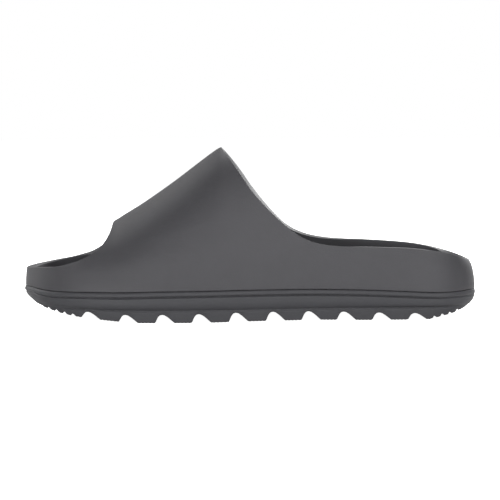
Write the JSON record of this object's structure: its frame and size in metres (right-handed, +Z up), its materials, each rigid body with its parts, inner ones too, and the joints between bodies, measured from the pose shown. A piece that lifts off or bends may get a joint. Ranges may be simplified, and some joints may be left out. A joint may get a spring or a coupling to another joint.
{
  "type": "sport slide sandal",
  "caption": "Left moulded foam slide sandal: broad instep strap, low wall round toe and heel, contoured footbed, and a sawtooth sole.",
  "frame": {"origin": "on the floor under the middle of the shoe's box", "axes": "-X to the toe, -Y to the lateral side, +Z up"},
  "size_m": [0.2869, 0.1104, 0.1075],
  "materials": {
    "upper_foam": "matt moulded foam",
    "footbed_foam": "matt moulded foam, finely textured",
    "outsole_foam": "matt moulded foam"
  },
  "bodies": {
    "root": {"upper": "upper_foam", "insole": "footbed_foam", "outsole": "outsole_foam"}
  },
  "joints": []
}
